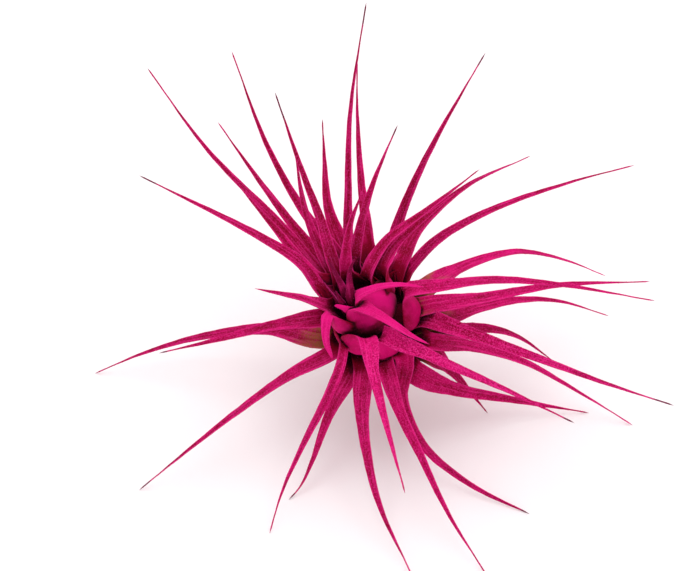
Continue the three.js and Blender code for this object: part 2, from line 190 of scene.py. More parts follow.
# From the youngest to the oldest
LEAVES = (
    Leaf("heart_leaf_1", (-4.6, 4.2, 12), ((-6.6, 8.2, 14.5), (-8, 11, 16)),
         width=1.7, sheath=2.4, taper=0.75),
    Leaf("heart_leaf_2", (-3.4, 3.6, 13), ((-3.9, 8, 16), (-3, 11, 18.5)),
         width=1.7, sheath=2.4, taper=0.75),
    Leaf("heart_leaf_3", (-5.4, 2.9, 12), ((-6.5, 5, 15.5),), width=1.1, sheath=2, taper=0.75),
    Leaf("heart_leaf_4", (-6.4, 3.6, 9.5), ((-8.8, 6.8, 13),), width=1.3, sheath=2.4, taper=0.75),
    Leaf("heart_leaf_5", (-4, 1.3, 13), ((-4.9, 1.7, 14.6), (-6.7, 2.3, 15)),
         width=1.9, sheath=2.6, taper=0.3),
    Leaf("crown_leaf_1", (-2.6, 3.3, 13.2),
         ((-1.3, 4.6, 15.2), (1.4, 5.6, 16.2), (5.3, 6.1, 16.6), (10, 5.6, 15.6)),
         width=2, sheath=8, taper=0.8, belly=(4.3, 2.7, 8.8), twist=30),
    Leaf("crown_leaf_2", (-2.4, 1.7, 13.6),
         ((0.1, 1, 15.6), (4, -1.2, 16.8), (7.2, -3.2, 16.8), (10.7, -4.8, 16)),
         width=3, sheath=8, taper=0.75, belly=(0, -3, 9.6), twist=50),
    Leaf("left_leaf_1", (-8.4, 1.9, 8.8), ((-12.6, 3.5, 10), (-16.3, 4.3, 10.6), (-21.4, 5.4, 11)),
         width=2.6, taper=0.85),
    Leaf("crown_leaf_3", (-7.6, 0.3, 12),
         ((-8.2, -1.6, 12.6), (-8.1, -4.4, 12.4), (-7, -7.6, 11.3)),
         width=2, sheath=7, taper=0.5, belly=(-5.4, -2.8, 9.6), twist=-50),
    Leaf("upper_leaf_1", (-9.3, 5.1, 5.5), ((-12.7, 9.8, 7), (-21.9, 15.7, 9), (-42.8, 26.3, 9)),
         width=2.7, shoulder=1),
    Leaf("upper_leaf_2", (-10.7, 7.9, 6), ((-15.9, 14.2, 6), (-25.7, 26, 8)),
         width=2.3, shoulder=1),
    Leaf("upper_leaf_3", (-9.3, 8.4, 1.5), ((-17, 17.5, 1), (-30.7, 31.6, 0), (-42.2, 47.2, -2)),
         width=2.1, shoulder=1),
    Leaf("upper_leaf_4", (-8.6, 10, -2), ((-14, 16.6, -4), (-20.8, 25.6, -8), (-29.4, 37.7, -12)),
         width=2.5, shoulder=1),
    Leaf("upper_leaf_5", (-5.9, 11.7, 0), ((-12.5, 20, -3), (-19.5, 32.6, -5), (-26.5, 51, -8)),
         width=2.3, shoulder=1),
    Leaf("upper_leaf_6", (-6.6, 9.5, 6), ((-9.2, 17.9, 8), (-12.7, 27.2, 9), (-17.7, 41.7, 9)),
         width=2.4, shoulder=1),
    Leaf("upper_leaf_7", (-7.4, 9.3, 2.6), ((-11.8, 18.8, 3), (-14.3, 32.1, 3)),
         width=2.5, shoulder=1),
    Leaf("upper_leaf_8", (-4.8, 12.4, -3), ((-7.9, 21.3, -8), (-8.6, 29.5, -12), (-9.1, 38.5, -15)),
         width=3.1, shoulder=1),
    Leaf("upper_leaf_9", (-3.8, 12.4, 3), ((-4.1, 24.7, 6), (-3.7, 38.7, 8), (-0.8, 58.3, 9)),
         width=1.9, shoulder=1),
    Leaf("upper_leaf_10", (-0.2, 14.5, -4), ((-1.5, 25.8, -9), (-2.3, 40, -13), (-2.3, 50.1, -15)),
         width=2.3, shoulder=1),
    Leaf("upper_leaf_11", (-2.9, 10.2, 6), ((-0.4, 22.3, 9), (2.3, 29.4, 10), (5, 35.6, 10)),
         shoulder=1),
    Leaf("upper_leaf_12", (-4.5, 9.2, 8.6), ((-3.9, 16.5, 11), (-1.3, 24, 13)), shoulder=1),
    Leaf("upper_leaf_13", (4, 12.7, -1), ((6.7, 21.3, 2), (12.1, 33, 6), (21.3, 49.1, 8)),
         width=2.4, shoulder=1),
    Leaf("upper_leaf_14", (-0.3, 8.4, 10), ((2.8, 13.9, 12), (10.2, 19.7, 13), (20, 27.3, 12)),
         width=2.7, shoulder=1),
    Leaf("upper_leaf_15", (2.4, 9.8, 10.8), ((3.4, 12.1, 10.9), (5.4, 14.5, 10), (15.9, 23.2, 7)),
         width=2.5, sheath=5, belly=(4, 7, 8.6), twist=80),
    Leaf("upper_leaf_16", (6.1, 10.2, 1), ((9, 16.1, -3), (18.9, 25.1, -9), (31.5, 31.2, -13)),
         width=3.2, shoulder=1),
    Leaf("upper_leaf_17", (7.9, 9.4, 2),
         ((12.9, 14.7, 5), (23.5, 20.4, 8), (37.2, 25.1, 9), (48.8, 28.2, 8)),
         width=2.2, shoulder=1),
    Leaf("right_leaf_1", (6.7, 4.7, 12),
         ((12.8, 5.8, 13), (22.7, 6.9, 13), (34.4, 6.1, 12), (52.7, 3.1, 8)),
         width=2.5, belly=(9.4, 1, 6.2), twist=30),
    Leaf("right_leaf_2", (11.1, 5.4, 0),
         ((17, 9, -6), (28.4, 12.4, -12), (38.5, 10.9, -17), (47, 7.8, -21)), width=3.4),
    Leaf("right_leaf_3", (10.2, 1.8, 4), ((19.9, 3.3, 2), (36.1, 6, -3), (53.7, 6.7, -6)),
         width=3.1),
    Leaf("right_leaf_4", (12.2, -0.8, 2),
         ((20.3, 1.5, -5), (29.4, 3.1, -11), (37.5, 2.8, -16), (47.5, -0.1, -20)), width=3.3),
    Leaf("right_leaf_5", (10.6, -0.4, 4),
         ((15.6, -2, 8), (29.5, -7, 10), (42.2, -11.7, 9), (56.2, -16.3, 8)), width=2.9),
    Leaf("right_leaf_6", (11.5, -4.7, 4),
         ((19.3, -5.7, -3), (29.7, -8.8, -8), (40.6, -14.7, -12), (51.4, -21.3, FLOOR)), width=2.7),
    Leaf("right_leaf_7", (13.2, -3.4, -1), ((22, -2.4, -9), (29.2, -4.2, -14), (37.2, -9.7, -17)),
         width=3.5),
    Leaf("right_leaf_8", (2.5, -3.2, 13.5),
         ((5.4, -4.6, 14.4), (9, -6, 14.3), (12.7, -7.8, 13.6), (25.6, -13.6, 10), (37.9, -19.6, 7)),
         width=2.7, belly=(3.6, -7.2, 7.5), twist=75),
    Leaf("right_leaf_9", (8.3, -10.4, 1),
         ((15.3, -13.5, -4), (27.6, -16.1, -11), (43.1, -19, FLOOR)), width=3.6),
    Leaf("right_leaf_10", (11.4, -7.1, -1), ((16, -10.8, -8), (23.3, -19.1, FLOOR)), width=3.3),
    Leaf("lower_leaf_1", (6.6, -7.7, 6.5),
         ((6, -14.5, 3), (9.9, -23.7, 2), (18.8, -31.4, 0), (30, -37, FLOOR)),
         width=2.9, taper=0.7),
    Leaf("lower_leaf_2", (3, -9, 6),
         ((5.5, -17.4, 9), (8.9, -24.7, 9), (14.4, -36.2, 10), (21.3, -47.3, FLOOR)), width=2.7),
    Leaf("lower_leaf_3", (-1, -10.6, 6), ((-1.3, -19.3, 6), (1.3, -33.4, 9), (7.7, -47.6, FLOOR)),
         width=3.2),
    Leaf("lower_leaf_4", (-0.7, -4.2, 15.3), ((0.3, -9.8, 20), (2.6, -19, 25), (5.8, -30.7, 29)),
         width=2.9, belly=(-2, -6.6, 9), twist=25),
    Leaf("lower_leaf_5", (-5.1, -5.6, 10),
         ((-5.7, -8.7, 11.4), (-7.4, -13.1, 10.2), (-12.5, -23.4, 8), (-16.5, -32.5, 6),
          (-18.8, -40.3, FLOOR)),
         width=2.6, shoulder=0.7, belly=(-4.8, -5.6, 4)),
    Leaf("lower_leaf_6", (-3.8, -11, 4),
         ((-7.7, -18.7, 1), (-10.9, -27.4, -1), (-13.1, -32, -1), (-15.4, -34.6, FLOOR)),
         width=3.3),
    Leaf("left_leaf_2", (-9.3, -0.5, 2), ((-18.3, -1.7, 3), (-28.1, -4.1, 4), (-39.5, -6.7, 5)),
         width=3.1),
    Leaf("left_leaf_3", (-7.7, -7.3, 4),
         ((-14.9, -10.9, 3), (-25.7, -18.4, 2), (-36.1, -26.6, 0), (-43.8, -32.9, FLOOR)),
         width=2.7),
    Leaf("left_leaf_4", (-9.2, -4.4, -3),
         ((-18.8, -2.6, -9), (-32.9, -4.2, -16), (-44.9, -7.6, -20), (-54.5, -11.6, FLOOR)),
         width=3.5),
    Leaf("back_leaf_1", (-7, 6, -6), ((-9, 8, -14), (-8, 6, -25), (-7, 3, FLOOR))),
    Leaf("back_leaf_2", (1, 9, -8), ((1, 11, -16), (1, 9, -28), (1, 6, FLOOR))),
    Leaf("back_leaf_3", (7.4, 5, -6.5), ((10, 6.4, -14), (10.6, 4.6, -25), (9.6, 1.6, FLOOR))),
)

COMMON_LOOKS = {
    "heart": Look(deep=0.9, grain=0.15),
    "crown": Look(deep=0.0, grain=0.3),
    "upper": Look(deep=0.4, grain=0.35),
    "right": Look(deep=0.22, grain=0.5),
    "lower": Look(deep=0.22, grain=0.5),
    "left": Look(deep=0.27, grain=0.5),
    "back": Look(bare=0.25, deep=0.4, grain=0.4),
}
OWN_LOOKS = {
    "heart_leaf_5": Look(deep=-0.2, grain=0.1),
    "crown_leaf_3": Look(deep=0.0, grain=0.4),
    "upper_leaf_1": Look(deep=0.3, dry=0.1),
    "upper_leaf_6": Look(deep=0.4, dry=0.2),
    "upper_leaf_9": Look(deep=0.4, dry=0.12),
    "upper_leaf_11": Look(deep=0.4, dry=0.1),
    "upper_leaf_13": Look(deep=0.4, dry=0.08),
    "upper_leaf_17": Look(bare=0.16, deep=0.3),
    "right_leaf_2": Look(bare=0.34, deep=0.12),
    "right_leaf_3": Look(bare=0.24, deep=0.22),
    "right_leaf_4": Look(bare=0.34, deep=0.22),
    "right_leaf_5": Look(bare=0.16, deep=0.22, dry=0.1, grain=0.7),
    "right_leaf_7": Look(bare=0.36, deep=0.32),
    "right_leaf_8": Look(deep=0.0, dry=0.08, grain=1.0),
    "right_leaf_9": Look(bare=0.2, deep=0.27),
    "right_leaf_10": Look(bare=0.4, deep=0.42),
    "lower_leaf_1": Look(deep=0.22, dry=0.05, grain=0.5),
    "lower_leaf_3": Look(deep=0.27, grain=0.6),
    "lower_leaf_4": Look(deep=0.05, grain=0.8),
    "lower_leaf_6": Look(bare=0.16, deep=0.32, dry=0.08),
    "left_leaf_2": Look(deep=0.32, dry=0.06),
    "left_leaf_3": Look(deep=0.32, dry=0.08),
    "left_leaf_4": Look(bare=0.3, deep=0.32, grain=0.5),
}


# ---- Sizes and colours that a user would change ----


def length_property(name, description, default, least=0.0, digits=5):
    """A length that a user may change, given in mm and kept in metres."""
    return FloatProperty(
        name=name, description=description, default=default * MM, min=least * MM, unit="LENGTH",
        precision=digits)


def colour_property(name, description, red, green, blue):
    """A colour that a user may change."""
    return FloatVectorProperty(
        name=name, description=description, subtype="COLOR", size=4, min=0.0, max=1.0,
        default=(red, green, blue, 1.0))


class SkyPlantLeafSizes(bpy.types.PropertyGroup):
    """Sizes of the leaves"""

    blade_width: length_property(
        "Blade width", "Width of a common blade, before its own size is applied", COMMON_WIDTH, 0.5)
    tip_width: length_property("Tip width", "Width at which a tip ends", 0.26, 0.02)
    blade_thickness: length_property(
        "Blade thickness", "Thickness where the blade leaves its sheath", 0.8, 0.1)
    tip_thickness: length_property("Tip thickness", "Thickness at the tip", 0.14, 0.02)
    sheath_thickness: length_property(
        "Sheath thickness", "Thickness of the domed sheaths", 0.65, 0.1)
    unevenness: length_property(
        "Unevenness", "How far a leaf wanders from its smooth form", 0.035)


class SkyPlantScaleSizes(bpy.types.PropertyGroup):
    """Sizes of the scales that cover the leaves"""

    radius: length_property(
        "Scale radius", "Radius of a common scale", SCALE_RADIUS, 0.01, digits=6)
    height: length_property(
        "Scale height", "How far a scale stands off the leaf", SCALE_HEIGHT, digits=6)
    per_square_mm: FloatProperty(
        name="Scales on a square millimetre", description="How closely the scales stand",
        default=SCALES_PER_SQUARE_MM, min=0.0)
    seed: IntProperty(name="Seed", description="Changes where the scales stand", default=SCALE_SEED)


class SkyPlantColours(bpy.types.PropertyGroup):
    """Colours of the sprayed plant"""

    pink: colour_property("Spray pink", "Spray where it lies thick", 0.63, 0.004, 0.146)
    crimson: colour_property("Crimson", "Spray on the shaded inner leaves", 0.225, 0.001, 0.018)
    pale: colour_property("Pale scales", "Scales that stand out of the spray", 0.86, 0.055, 0.34)
    thick: colour_property("Thick spray", "Spray on the domes of the crown", 0.66, 0.005, 0.165)
    olive: colour_property("Bare leaf", "Leaf that the spray missed", 0.35, 0.165, 0.045)
    dry: colour_property("Dry tip", "Withered leaf tips", 0.1, 0.014, 0.036)
    heart: colour_property("Heart", "Youngest leaves, deep in the head", 0.15, 0.002, 0.03)
    bark: colour_property("Stem bark", "Old leaf bases on the stem", 0.13, 0.065, 0.03)
    # The pink in the floor colour is painted light, thrown back from the plant
    floor: colour_property("Floor", "Pale surface below the plant", 0.9, 0.845, 0.86)


class SkyPlantLights(bpy.types.PropertyGroup):
    """Soft studio light"""

    surround: FloatProperty(
        name="Surround", description="Strength of the even white surround", default=0.92, min=0.0)
    overhead: FloatProperty(
        name="Overhead light", description="Power of the soft light above, in watts",
        default=2.8, min=0.0)
    overhead_size: FloatProperty(
        name="Overhead size", description="Side of the soft light above",
        default=0.7, min=0.01, unit="LENGTH")


# ---- Node desks ----


class NodeDesk:
    """Places the nodes of one tree and links what is fed into them."""

    def __init__(self, tree):
        self.tree = tree

    def feed(self, socket, value):
        """Link a socket, or set its own value."""
        if isinstance(value, bpy.types.NodeSocket):
            self.tree.links.new(value, socket)
        else:
            socket.default_value = value

    def place(self, kind, inputs=None, **settings):
        """Place a node with its settings and inputs."""
        node = self.tree.nodes.new(kind)
        for name, value in settings.items():
            setattr(node, name, value)
        for key, value in (inputs or {}).items():
            self.feed(node.inputs[key], value)
        return node

    def first(self, kind, inputs=None, **settings):
        """Place a node and take what its first socket gives."""
        return self.place(kind, inputs, **settings).outputs[0]

    def maths(self, operation, *values, **settings):
        """A sum on one number or two."""
        return self.first("ShaderNodeMath", dict(enumerate(values)), operation=operation, **settings)

    def plus(self, *values):
        """All the numbers added up."""
        return reduce(partial(self.maths, "ADD"), values)

    def minus(self, first, second):
        """The first number less the second."""
        return self.maths("SUBTRACT", first, second)

    def times(self, *values):
        """All the numbers multiplied."""
        return reduce(partial(self.maths, "MULTIPLY"), values)

    def vector(self, operation, *values):
        """A sum on vectors."""
        return self.first("ShaderNodeVectorMath", dict(enumerate(values)), operation=operation)

    def stretch(self, vector, amount):
        """A vector times a number."""
        return self.first("ShaderNodeVectorMath", {0: vector, "Scale": amount}, operation="SCALE")

    def parts(self, vector):
        """The three numbers of a vector."""
        return self.place("ShaderNodeSeparateXYZ", {0: vector}).outputs

    def join(self, *values):
        """A vector of three numbers."""
        return self.first("ShaderNodeCombineXYZ", dict(enumerate(values)))

    def remap(self, value, low, high, to_low=0.0, to_high=1.0):
        """A soft step from one range to another."""
        return self.first(
            "ShaderNodeMapRange", {"Value": value, 1: low, 2: high, 3: to_low, 4: to_high},
            interpolation_type="SMOOTHSTEP")

    def blend(self, share, first, second):
        """A colour between two."""
        node = self.place("ShaderNodeMix", {0: share, 6: first, 7: second}, data_type="RGBA")
        return node.outputs[2]

    def noise(self, vector, scale, detail, rough=0.5):
        """A cloudy pattern."""
        return self.first("ShaderNodeTexNoise", {
            "Vector": vector, "Scale": scale, "Detail": detail, "Roughness": rough})

    def stored(self, geometry, name, value, kind):
        """Keep values on the points of a geometry under a name."""
        return self.first(
            "GeometryNodeStoreNamedAttribute", {"Geometry": geometry, "Name": name, "Value": value},
            data_type=kind, domain="POINT")

    def dressed(self, geometry, material):
        """End a tree with real geometry that has its material."""
        real = self.first("GeometryNodeRealizeInstances", {"Geometry": geometry})
        self.place("NodeGroupOutput", {0: self.first(
            "GeometryNodeSetMaterial", {"Geometry": real, "Material": material})})

    def lay_out(self, step=180):
        """Set the nodes side by side, so that they can be read."""
        for place, node in enumerate(self.tree.nodes):
            node.location = ((place % 12) * step, -(place // 12) * step)


def sockets(tree, direction, rows):
    """Name the inputs or outputs of a tree."""
    for name, kind, *value in rows:
        socket = tree.interface.new_socket(name=name, in_out=direction, socket_type=f"NodeSocket{kind}")
        if value:
            socket.default_value = value[0]


# ---- Skin of a leaf along its middle line, and its scales ----


def named(desk, name, kind):
    """Values that are kept on the points under a name."""
    node = desk.place("GeometryNodeInputNamedAttribute", {"Name": name}, data_type=kind)
    return node.outputs["Attribute"]


def leaf_skin_tree():
    """Geometry Nodes that lay a closed skin round a leaf's middle line."""
    tree = bpy.data.node_groups.new("Leaf skin", "GeometryNodeTree")
    tree.is_modifier = True
    sockets(tree, "INPUT", (
        ("Middle line", "Geometry"), ("Points around", "Int", POINTS_AROUND),
        ("Merge distance", "Float", MERGE_DISTANCE), ("Leaf surface", "Material")))
    sockets(tree, "OUTPUT", (("Skin", "Geometry"),))
    desk = NodeDesk(tree)
    given = desk.place("NodeGroupInput").outputs
    line = given["Middle line"]
    rings = desk.first("GeometryNodeAttributeDomainSize", {0: line}, component="MESH")
    columns = desk.plus(given["Points around"], 1)
    grid = desk.first("GeometryNodeMeshGrid", {"Vertices X": rings, "Vertices Y": columns})
    index = desk.first("GeometryNodeInputIndex")
    # Half a step keeps a ring's first point from being rounded down to the ring before
    ring = desk.maths("FLOOR", desk.maths("DIVIDE", desk.plus(index, 0.5), columns))
    column = desk.minus(index, desk.times(ring, columns))
    turn = desk.times(desk.maths("DIVIDE", column, given["Points around"]), 2 * math.pi)

    def on_ring(value, kind="FLOAT_VECTOR"):
        sample = desk.place(
            "GeometryNodeSampleIndex", {"Geometry": line, "Value": value, "Index": ring},
            data_type=kind, domain="POINT")
        return sample.outputs["Value"]

    def kept(name, kind="FLOAT_VECTOR"):
        return on_ring(named(desk, name, kind), kind)

    centre = on_ring(desk.first("GeometryNodeInputPosition"))
    half_angle, half_thickness, channel = desk.parts(kept("section"))
    across = desk.times(desk.maths("COSINE", turn), -1)
    outward = desk.maths("SINE", turn)
    angle = desk.times(across, half_angle)
    radius = desk.plus(channel, desk.times(outward, half_thickness))
    rise = desk.minus(channel, desk.times(radius, desk.maths("COSINE", angle)))
    reach = desk.times(radius, desk.maths("SINE", angle))
    offset = desk.vector(
        "ADD", desk.stretch(kept("inward"), rise), desk.stretch(kept("sideways"), reach))
    skin = desk.first(
        "GeometryNodeSetPosition", {"Geometry": grid, "Position": desk.vector("ADD", centre, offset)})
    along, number, zone = desk.parts(kept("zone"))
    for name, kind, value in (
            ("leaf_place", "FLOAT_VECTOR", desk.join(reach, along, number)),
            ("leaf_side", "FLOAT_VECTOR", desk.join(across, outward, zone)),
            ("leaf_look", "FLOAT_VECTOR", kept("look")),
            ("grain", "FLOAT", kept("grain", "FLOAT"))):
        skin = desk.stored(skin, name, value, kind)
    skin = desk.first(
        "GeometryNodeMergeByDistance", {"Geometry": skin, "Distance": given["Merge distance"]})
    desk.dressed(desk.first("GeometryNodeSetShadeSmooth", {"Geometry": skin}), given["Leaf surface"])
    desk.lay_out()
    return tree


def leaf_scales_tree():
    """Geometry Nodes that strew small closed scales over a leaf's skin."""
    tree = bpy.data.node_groups.new("Leaf scales", "GeometryNodeTree")
    tree.is_modifier = True
    sockets(tree, "INPUT", (
        ("Skin", "Geometry"), ("Radius", "Float", SCALE_RADIUS * MM),
        ("Height", "Float", SCALE_HEIGHT * MM),
        ("Scales per square metre", "Float", SCALES_PER_SQUARE_MM / MM ** 2),
        ("Seed", "Int", SCALE_SEED), ("Leaf surface", "Material")))
    sockets(tree, "OUTPUT", (("Scaly leaf", "Geometry"),))
    desk = NodeDesk(tree)
    given = desk.place("NodeGroupInput").outputs
    density = desk.times(given["Scales per square metre"], named(desk, "grain", "FLOAT"))
    spread = desk.place(
        "GeometryNodeDistributePointsOnFaces",
        {"Mesh": given["Skin"], "Density": density, "Seed": given["Seed"]}, distribute_method="RANDOM")
    cone = desk.first(
        "GeometryNodeMeshCone",
        {"Vertices": SCALE_SIDES, "Side Segments": 1, "Fill Segments": 1, "Radius Top": 0.0,
         "Radius Bottom": given["Radius"], "Depth": given["Height"]}, fill_type="NGON")
    sunk = desk.join(0.0, 0.0, desk.times(given["Height"], -SCALE_SUNK))
    cone = desk.first("GeometryNodeSetPosition", {"Geometry": cone, "Offset": sunk})
    cone = desk.stored(cone, "speck", 1.0, "FLOAT")
    size = desk.place(
        "FunctionNodeRandomValue", {"Seed": given["Seed"], 2: SCALE_SIZES[0], 3: SCALE_SIZES[1]},
        data_type="FLOAT").outputs[1]
    scales = desk.first(
        "GeometryNodeInstanceOnPoints",
        {"Points": spread.outputs["Points"], "Instance": cone, "Rotation": spread.outputs["Rotation"],
         "Scale": size})
    joined = desk.place("GeometryNodeJoinGeometry")
    desk.feed(joined.inputs[0], given["Skin"])
    desk.feed(joined.inputs[0], desk.first("GeometryNodeSetShadeSmooth", {"Geometry": scales}))
    desk.dressed(joined.outputs[0], given["Leaf surface"])
    desk.lay_out()
    return tree


def put_on(piece, tree, **values):
    """Add a Geometry Nodes modifier with its inputs set by their identifiers."""
    modifier = piece.modifiers.new(tree.name, "NODES")
    modifier.node_group = tree
    for item in tree.interface.items_tree:
        key = item.name.lower().replace(" ", "_")
        if item.item_type == "SOCKET" and item.in_out == "INPUT" and key in values:
            modifier[item.identifier] = values[key]


def to_plain_mesh(piece):
    """Turn the evaluated piece into a plain mesh and take its modifiers off."""
    evaluated = piece.evaluated_get(bpy.context.evaluated_depsgraph_get())
    plain = bpy.data.meshes.new_from_object(evaluated)
    surface = next(material for material in plain.materials if material)
    plain.materials.clear()
    plain.materials.append(surface)
    plain.polygons.foreach_set("material_index", [0] * len(plain.polygons))
    before = piece.data
    piece.modifiers.clear()
    piece.data = plain
    plain.name = piece.name
    bpy.data.meshes.remove(before)


def on_scene(name, data):
    """A new object of the scene, at the origin."""
    thing = bpy.data.objects.new(name, data)
    bpy.context.scene.collection.objects.link(thing)
    return thing


# ---- Middle lines ----


def unit(vector):
    """A vector of length one."""
    return vector / np.linalg.norm(vector)


def smooth_step(value, low, high):
    """A soft step between two values."""
    share = np.clip((value - low) / (high - low), 0.0, 1.0)
    return share * share * (3 - 2 * share)


def lerp(first, second, share):
    """A value between two."""
    return first + (second - first) * share


def to_world(points):
    """Points of the layout frame, in mm, as places in metres."""
    return (turned(points) + HEAD_PLACE) * MM


def turned(directions):
    """Directions of the layout frame, turned upright."""
    right, up, out = directions.T
    cosine, sine = math.cos(SLANT), math.sin(SLANT)
    return np.stack((right, up * cosine - out * sine, up * sine + out * cosine), axis=1)


def layout_point(point, tip_radius):
    """A point of a row, with the depth of the surface where the row says so."""
    right, up, out = point
    if out == FLOOR:
        out = (tip_radius - HEAD_PLACE[2] - up * math.sin(SLANT)) / math.cos(SLANT)
    return np.array((right, up, out), dtype=float)


def around_axis(point):
    """Height along the head's axis, distance from it, and the direction away from it."""
    height = point @ HEAD_AXIS
    away = point - height * HEAD_AXIS
    radius = np.linalg.norm(away)
    return height, radius, away / radius


def on_axis(height, radius, away):
    """A point at a height along the head's axis and a distance from it."""
    return height * HEAD_AXIS + radius * away


def smooth_path(points):
    """Centripetal curve through the points, with as many steps for each span."""
    padded = np.vstack((2 * points[0] - points[1], points, 2 * points[-1] - points[-2]))
    steps = np.linspace(0, 1, CURVE_STEPS, endpoint=False)[:, None]
    spans = []
    for p0, p1, p2, p3 in zip(padded, padded[1:], padded[2:], padded[3:]):
        d0, d1, d2 = (math.sqrt(np.linalg.norm(b - a)) for a, b in ((p0, p1), (p1, p2), (p2, p3)))
        t1 = ((p1 - p0) / d0 - (p2 - p0) / (d0 + d1) + (p2 - p1) / d1) * d1
        t2 = ((p2 - p1) / d1 - (p3 - p1) / (d1 + d2) + (p3 - p2) / d2) * d1
        spans.append(p1 + t1 * steps + (3 * (p2 - p1) - 2 * t1 - t2) * steps ** 2
                     + (2 * (p1 - p2) + t1 + t2) * steps ** 3)
    return np.vstack((*spans, points[-1]))


def leaf_points(leaf, tip_radius):
    """Points that the middle line of a leaf runs through, and the way from the axis to the leaf."""
    neck = layout_point(leaf.neck, tip_radius)
    height, radius, away = around_axis(neck if leaf.belly is None else layout_point(leaf.belly, 0))
    neck_height = neck @ HEAD_AXIS
    root_height = float(np.clip(np.interp(neck_height, NECK_RANGE, ROOT_RANGE), *ROOT_RANGE))
    if leaf.belly is None:
        height = (root_height + height) / 2
        radius = (STEM_RADIUS + radius) / 2 + SHEATH_BULGE
    sheath = [on_axis(height + climb * (neck_height - root_height), radius * spread, away)
              for climb, spread in BELLY_STEPS]
    blade = [layout_point(point, tip_radius) for point in leaf.blade]
    return np.array([on_axis(root_height, STEM_RADIUS, away), *sheath, neck, *blade]), away


def waves(places, random, wavelengths):
    """A gentle wander along a leaf, of about one unit."""
    total = sum(np.sin(places / length * 2 * math.pi + random.uniform(0, 2 * math.pi))
                for length in wavelengths)
    return total / len(wavelengths)


def middle_line(leaf, look, seed, sizes):
    """Rings of a leaf from its root to its tip, with their directions and sizes, in metres."""
    tip_radius = sizes.tip_thickness / MM / 2
    points, away = leaf_points(leaf, tip_radius)
    path = smooth_path(points)
    lengths = np.concatenate(((0.0,), np.cumsum(np.linalg.norm(np.diff(path, axis=0), axis=1))))
    length = lengths[-1]
    neck = lengths[(len(points) - len(leaf.blade) - 1) * CURVE_STEPS] / length
    blade_rings = max(LEAST_BLADE_RINGS, round(length * (1 - neck) / BLADE_RING_SPACING))
    shares = np.concatenate((
        np.linspace(0, neck, SHEATH_RINGS, endpoint=False),
        np.linspace(neck, 1, blade_rings + 1)))
    centres = np.stack(
        [np.interp(shares * length, lengths, path[:, axis]) for axis in range(3)], axis=1)
    tangents = np.gradient(centres, shares, axis=0)
    tangents /= np.linalg.norm(tangents, axis=1)[:, None]
    inward = np.empty_like(centres)
    # A sheath starts with its hollow side to the axis, whichever way its root points
    facing = (tangents[0] @ away) * HEAD_AXIS - (tangents[0] @ HEAD_AXIS) * away
    for ring, along in enumerate(tangents):
        facing = unit(facing - (facing @ along) * along)
        inward[ring] = facing
    sideways = np.cross(tangents, inward)
    twist = math.radians(leaf.twist) * smooth_step(shares / neck, *TWIST_FORMS)[:, None]
    twisted = inward * np.cos(twist) + sideways * np.sin(twist)
    sideways = sideways * np.cos(twist) - inward * np.sin(twist)
    inward = twisted

    in_blade = np.clip((shares - neck) / (1 - neck), 0, 1)
    in_sheath = np.clip(shares / neck, 0, 1)
    flare = lerp(SHEATH_ROOT_WIDTH, leaf.sheath, smooth_step(in_sheath, *SHEATH_WIDENS))
    own_width = leaf.width * sizes.blade_width / (COMMON_WIDTH * MM)
    neck_width = own_width * leaf.shoulder
    tapered = np.maximum(sizes.tip_width / MM, own_width * (1 - in_blade) ** leaf.taper)
    width = np.where(
        shares < neck, lerp(flare, neck_width, smooth_step(in_sheath, *SHEATH_NARROWS)),
        lerp(neck_width, tapered, smooth_step(in_blade, 0, SHOULDER_SHARE)))
    thick, tip, sheath = (value / MM for value in
                          (sizes.blade_thickness, sizes.tip_thickness, sizes.sheath_thickness))
    thickness = np.where(
        shares < neck, lerp(sheath, thick, smooth_step(in_sheath, *SHEATH_THICKENS)),
        lerp(thick, tip, in_blade))
    thickness = np.minimum(thickness, np.maximum(width * THICKEST_SHARE, tip))
    distance = np.linalg.norm(centres - np.outer(centres @ HEAD_AXIS, HEAD_AXIS), axis=1)
    dome = lerp(
        1 / np.maximum(distance, leaf.sheath / 2), 2 * math.sin(DOME_CHANNEL) / width,
        smooth_step(in_sheath, *DOME_FORMS))
    bend = lerp(dome, 2 * math.sin(BLADE_CHANNEL) / width, smooth_step(shares / neck, *CHANNEL_FORMS))

    random = np.random.default_rng(seed)
    places = shares * length
    wander = sizes.unevenness / MM * smooth_step(in_blade, *WANDER_STARTS)
    wander *= 1 - smooth_step(in_blade, *WANDER_ENDS)
    centres = centres + (wander * waves(places, random, SIDEWAYS_WAVES))[:, None] * sideways
    centres = centres + (wander * waves(places, random, INWARD_WAVES))[:, None] * inward
    swell = WIDTH_WANDERS * waves(places, random, WIDTH_WAVES)
    width = width * (1 + swell * smooth_step(in_blade, *WIDTH_WANDER_STARTS))
    half_angle = np.arcsin(np.minimum(WIDEST_SINE, width / 2 * bend))
    half_thickness = thickness / 2
    for end in (0, -1):
        half_angle[end] = half_thickness[end] = 0

    bare_from, bare_to = (look.bare * fade for fade in BARE_FADES)
    bare = 1 - smooth_step(shares, bare_from, bare_to + LEAST_FADE)
    dry_from, dry_to = (1 - look.dry * fade for fade in DRY_FADES)
    dry = smooth_step(in_blade, dry_from - LEAST_FADE, dry_to) if look.dry else np.zeros_like(shares)
    scaly = smooth_step(shares, *(neck * start for start in GRAIN_STARTS))
    return {
        "position": to_world(centres),
        "inward": turned(inward),
        "sideways": turned(sideways),
        "section": np.stack((half_angle, half_thickness * MM, MM / bend), axis=1),
        "zone": np.stack((places * MM, np.full_like(shares, seed), in_blade + in_sheath - 1), axis=1),
        "look": np.stack((bare, dry, np.full_like(shares, look.deep)), axis=1),
        "grain": look.grain * lerp(SHEATH_GRAIN, 1.0, scaly),
    }


